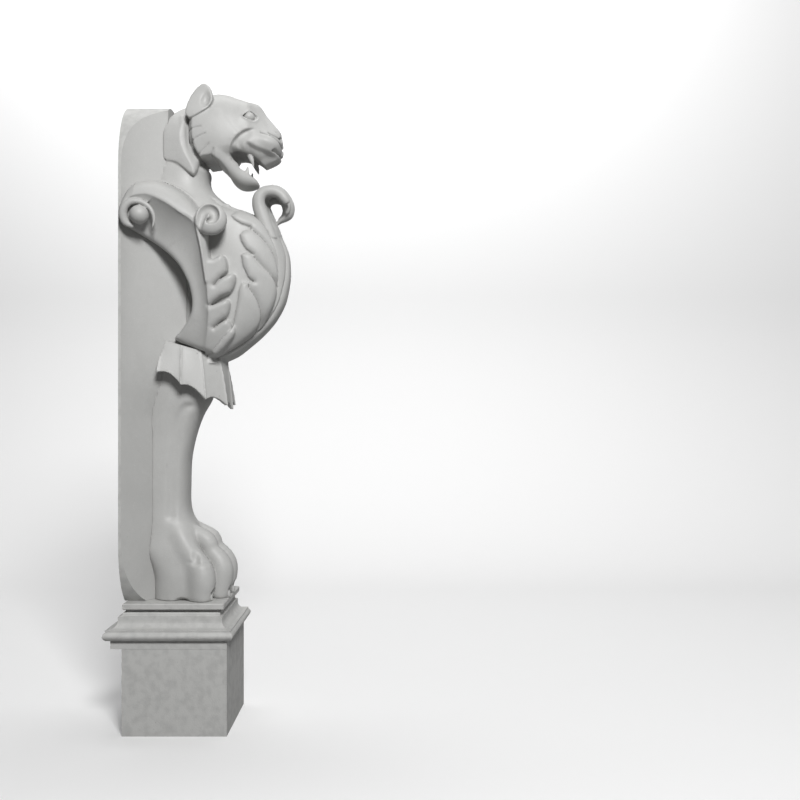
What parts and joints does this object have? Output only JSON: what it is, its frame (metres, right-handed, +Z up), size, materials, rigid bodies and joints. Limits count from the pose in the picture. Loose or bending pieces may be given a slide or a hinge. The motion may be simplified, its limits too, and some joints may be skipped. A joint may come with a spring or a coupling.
{
  "type": "tiger monopodium statue on pillar",
  "caption": "Stone big-cat monopodium with acanthus chest, volute shoulders and one paw, on a moulded square pillar with an arched back slab.",
  "frame": {"origin": "centre of the pillar's underside", "axes": "+Z up, the figure looks along -Y, the slab's flat back faces +Y, +X is the animal's left"},
  "size_m": [0.2563, 0.3178, 1.129],
  "materials": {
    "pillar_stone": "honed",
    "cap_stone": "honed",
    "slab_stone": "honed",
    "figure_stone": "honed"
  },
  "bodies": {
    "root": {"pillar": "pillar_stone", "cap_moulding": "cap_stone", "back_slab": "slab_stone", "tiger_figure": "figure_stone"}
  },
  "joints": []
}
